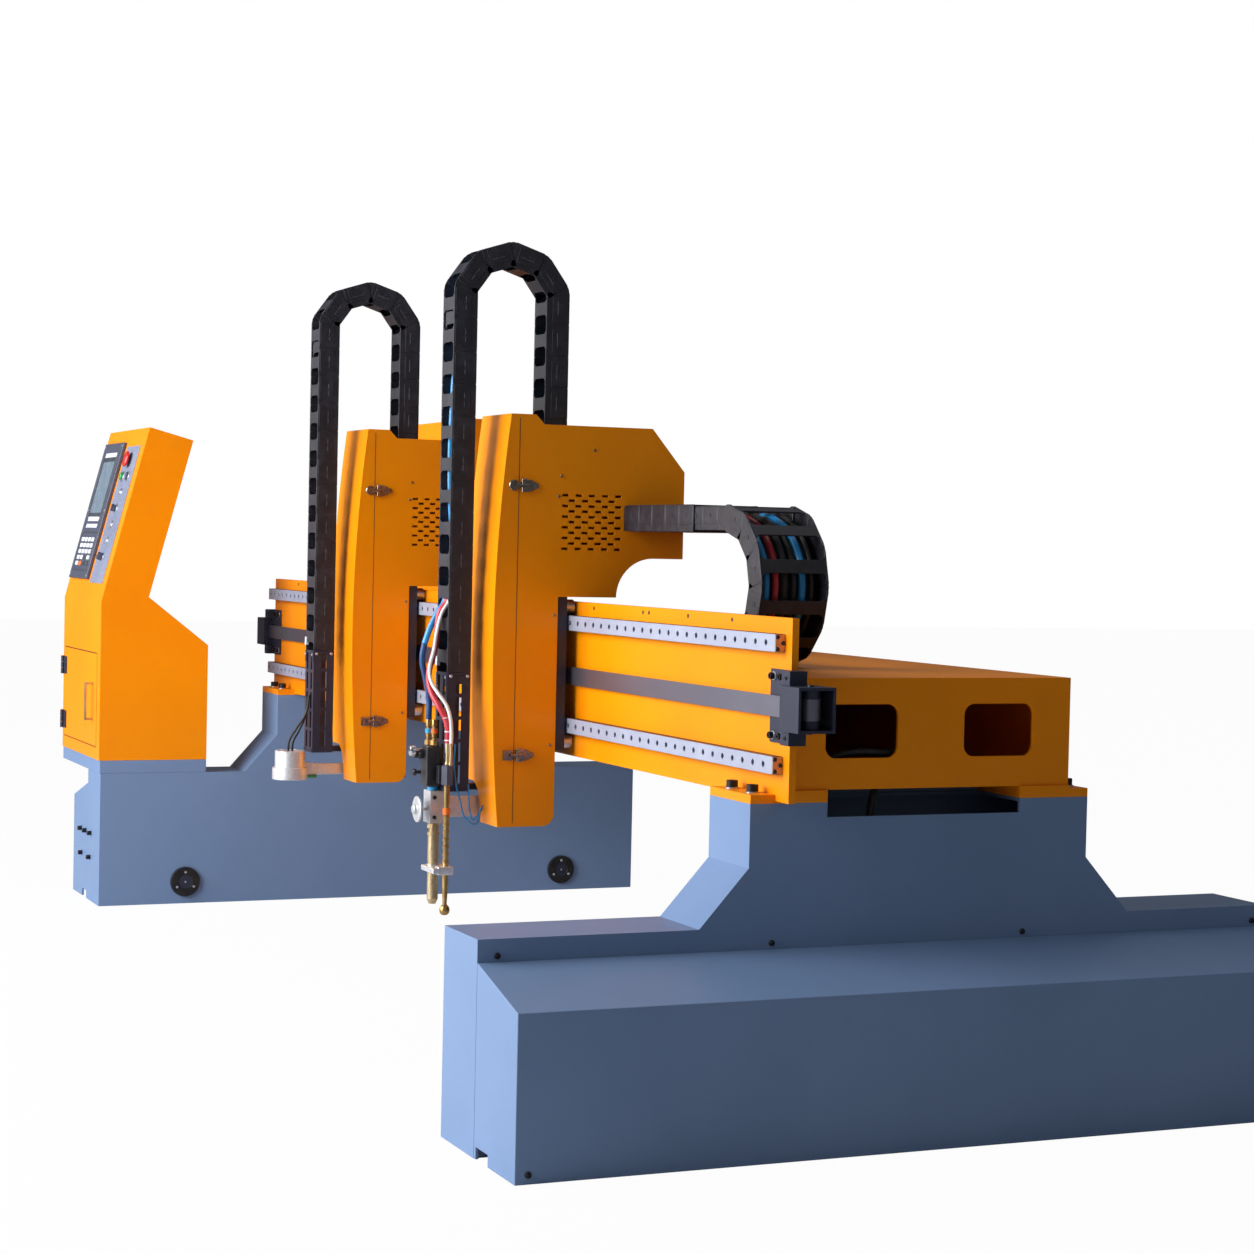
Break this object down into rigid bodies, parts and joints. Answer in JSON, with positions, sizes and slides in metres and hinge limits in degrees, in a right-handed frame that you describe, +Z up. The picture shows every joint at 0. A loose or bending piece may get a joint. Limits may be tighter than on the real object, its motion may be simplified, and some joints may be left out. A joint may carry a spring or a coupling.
{
  "type": "gantry cnc cutting machine",
  "caption": "Floor-rail gantry cutting machine: cross beam on two wheeled carriages, band-driven torch heads with lift slides, cable chains and a side console.",
  "frame": {"origin": "middle of the machine's footprint, at the lower edges of the carriages", "axes": "+X along the beam away from the console, +Y from the torch side to the rear, +Z up"},
  "size_m": [4.544, 1.977, 2.0025],
  "materials": {
    "blue_paint": "semi-gloss blue-grey paint",
    "orange_paint": "glossy yellow-orange paint",
    "dark_steel": "dark blue-black satin",
    "ground_steel": "ground",
    "aluminium": "satin",
    "brass": "brushed",
    "black_plastic": "matte black",
    "dark_plastic": "satin dark grey",
    "red_plastic": "glossy red",
    "green_plastic": "glossy green",
    "hose_rubber": "satin, one blue, one white and one red hose",
    "black_rubber": "matte black"
  },
  "bodies": {
    "frame": {"near_carriage": "blue_paint", "far_carriage": "blue_paint", "side_covers": "blue_paint", "axles_and_motors": "dark_steel", "rail_plate": "orange_paint", "box_beam": "orange_paint", "beam_ends": "orange_paint", "fasteners": "dark_steel", "guide_rails": "ground_steel", "drive_band": "ground_steel", "tensioners": "dark_steel", "beam_cables": "black_rubber", "cross_chain_lower": "black_plastic", "console_cabinet": "orange_paint", "console_plinth": "blue_paint", "controller": "dark_plastic", "switch_strip": "dark_plastic", "control_box": "orange_paint", "pilot_lamps": "ground_steel"},
    "console_door": {"console_door": "orange_paint", "door_handle": "ground_steel"},
    "emergency_stop": {"emergency_stop": "red_plastic"},
    "start_button": {"start_button": "green_plastic"},
    "stop_button": {"stop_button": "black_plastic"},
    "mode_selector": {"mode_selector": "black_plastic"},
    "speed_knob": {"speed_knob": "black_plastic"},
    "front_wheels": {"front_wheels": "ground_steel"},
    "rear_wheels": {"rear_wheels": "ground_steel"},
    "drive_pinions": {"drive_pinions": "ground_steel"},
    "right_band_roller": {"right_band_roller": "ground_steel"},
    "left_band_roller": {"left_band_roller": "ground_steel"},
    "cross_chain_bend": {"cross_chain_bend": "black_plastic"},
    "near_head": {"near_head_plate": "dark_steel", "near_guide_rollers": "ground_steel", "near_housing": "orange_paint", "near_cover": "orange_paint", "near_latches": "ground_steel", "near_lift_motor": "dark_plastic", "cross_chain_upper": "black_plastic"},
    "near_lift_screw": {"near_lift_screw": "ground_steel"},
    "near_chain_bend": {"near_chain_bend": "black_plastic"},
    "near_lift": {"near_lift": "dark_steel", "near_chain_leg": "black_plastic", "torch_arm": "aluminium", "torch": "brass", "torch_valves": "dark_steel", "torch_hoses": "hose_rubber"},
    "far_head": {"far_head_plate": "dark_steel", "far_guide_rollers": "ground_steel", "far_housing": "orange_paint", "far_cover": "orange_paint", "far_latches": "ground_steel", "far_lift_motor": "dark_plastic"},
    "far_lift_screw": {"far_lift_screw": "ground_steel"},
    "far_chain_bend": {"far_chain_bend": "black_plastic"},
    "far_lift": {"far_lift": "dark_steel", "far_chain_leg": "black_plastic", "magnet_holder": "aluminium", "tool_wires": "black_rubber"},
    "clamp_knob": {"clamp_knob": "ground_steel"}
  },
  "joints": [
    {"name": "front_wheel_spin", "type": "hinge", "parent": "frame", "child": "front_wheels", "pos_m": [2.078, -0.6625, 0.074], "axis": [1, 0, 0], "continuous": true},
    {"name": "rear_wheel_spin", "type": "hinge", "parent": "frame", "child": "rear_wheels", "pos_m": [2.078, 0.7105, 0.074], "axis": [1, 0, 0], "continuous": true},
    {"name": "pinion_spin", "type": "hinge", "parent": "frame", "child": "drive_pinions", "pos_m": [2.078, 0.1595, 0.06], "axis": [1, 0, 0], "continuous": true},
    {"name": "near_cross_slide", "type": "slide", "parent": "frame", "child": "near_head", "axis": [1, 0, 0], "range_m": [-0.375, 0.375]},
    {"name": "far_cross_slide", "type": "slide", "parent": "frame", "child": "far_head", "axis": [1, 0, 0], "range_m": [-0.375, 0.375]},
    {"name": "cross_chain_slide", "type": "slide", "parent": "frame", "child": "cross_chain_bend", "axis": [1, 0, 0], "range_m": [-0.1875, 0.1875]},
    {"name": "right_roller_spin", "type": "hinge", "parent": "frame", "child": "right_band_roller", "pos_m": [2.166, -0.2825, 0.915], "axis": [0, 0, 1], "continuous": true},
    {"name": "left_roller_spin", "type": "hinge", "parent": "frame", "child": "left_band_roller", "pos_m": [-1.978, -0.2825, 0.915], "axis": [0, 0, 1], "continuous": true},
    {"name": "near_lift_slide", "type": "slide", "parent": "near_head", "child": "near_lift", "axis": [0, 0, 1], "range_m": [-0.18, 0]},
    {"name": "near_screw_spin", "type": "hinge", "parent": "near_head", "child": "near_lift_screw", "pos_m": [0.812, -0.4025, 0.9], "axis": [0, 0, 1], "continuous": true},
    {"name": "near_chain_slide", "type": "slide", "parent": "near_head", "child": "near_chain_bend", "axis": [0, 0, 1], "range_m": [-0.09, 0]},
    {"name": "far_lift_slide", "type": "slide", "parent": "far_head", "child": "far_lift", "axis": [0, 0, 1], "range_m": [-0.18, 0]},
    {"name": "far_screw_spin", "type": "hinge", "parent": "far_head", "child": "far_lift_screw", "pos_m": [-0.36, -0.4025, 0.9], "axis": [0, 0, 1], "continuous": true},
    {"name": "far_chain_slide", "type": "slide", "parent": "far_head", "child": "far_chain_bend", "axis": [0, 0, 1], "range_m": [-0.09, 0]},
    {"name": "clamp_knob_turn", "type": "hinge", "parent": "near_lift", "child": "clamp_knob", "pos_m": [0.799, -0.6655, 0.575], "axis": [0, 1, 0], "range_deg": [-180, 180]},
    {"name": "door_hinge", "type": "hinge", "parent": "frame", "child": "console_door", "pos_m": [-2.258, -0.9665, 0.68], "axis": [0, 0, 1], "range_deg": [-110, 0]},
    {"name": "emergency_stop_press", "type": "slide", "parent": "frame", "child": "emergency_stop", "axis": [0, 0.9668, -0.2554], "range_m": [0, 0.005], "stiffness_N_per_m": 1200},
    {"name": "start_press", "type": "slide", "parent": "frame", "child": "start_button", "axis": [0, 0.9668, -0.2554], "range_m": [0, 0.003], "stiffness_N_per_m": 800},
    {"name": "stop_press", "type": "slide", "parent": "frame", "child": "stop_button", "axis": [0, 0.9668, -0.2554], "range_m": [0, 0.003], "stiffness_N_per_m": 800},
    {"name": "selector_turn", "type": "hinge", "parent": "frame", "child": "mode_selector", "pos_m": [-1.806, -0.87799, 1.33328], "axis": [0, -0.9668, 0.2554], "range_deg": [-45, 45]},
    {"name": "speed_turn", "type": "hinge", "parent": "frame", "child": "speed_knob", "pos_m": [-1.806, -0.92167, 1.16796], "axis": [0, -0.9668, 0.2554], "range_deg": [-150, 150]}
  ],
  "couplings": [
    {"joint": "rear_wheel_spin", "follows": "front_wheel_spin", "ratio": 1},
    {"joint": "pinion_spin", "follows": "front_wheel_spin", "ratio": 1.5},
    {"joint": "far_cross_slide", "follows": "near_cross_slide", "ratio": 1},
    {"joint": "cross_chain_slide", "follows": "near_cross_slide", "ratio": 0.5},
    {"joint": "right_roller_spin", "follows": "near_cross_slide", "rad_per_m": 48.781},
    {"joint": "left_roller_spin", "follows": "near_cross_slide", "rad_per_m": 48.781},
    {"joint": "near_screw_spin", "follows": "near_lift_slide", "rad_per_m": 628.32},
    {"joint": "near_chain_slide", "follows": "near_lift_slide", "ratio": 0.5},
    {"joint": "far_screw_spin", "follows": "far_lift_slide", "rad_per_m": 628.32},
    {"joint": "far_chain_slide", "follows": "far_lift_slide", "ratio": 0.5}
  ]
}
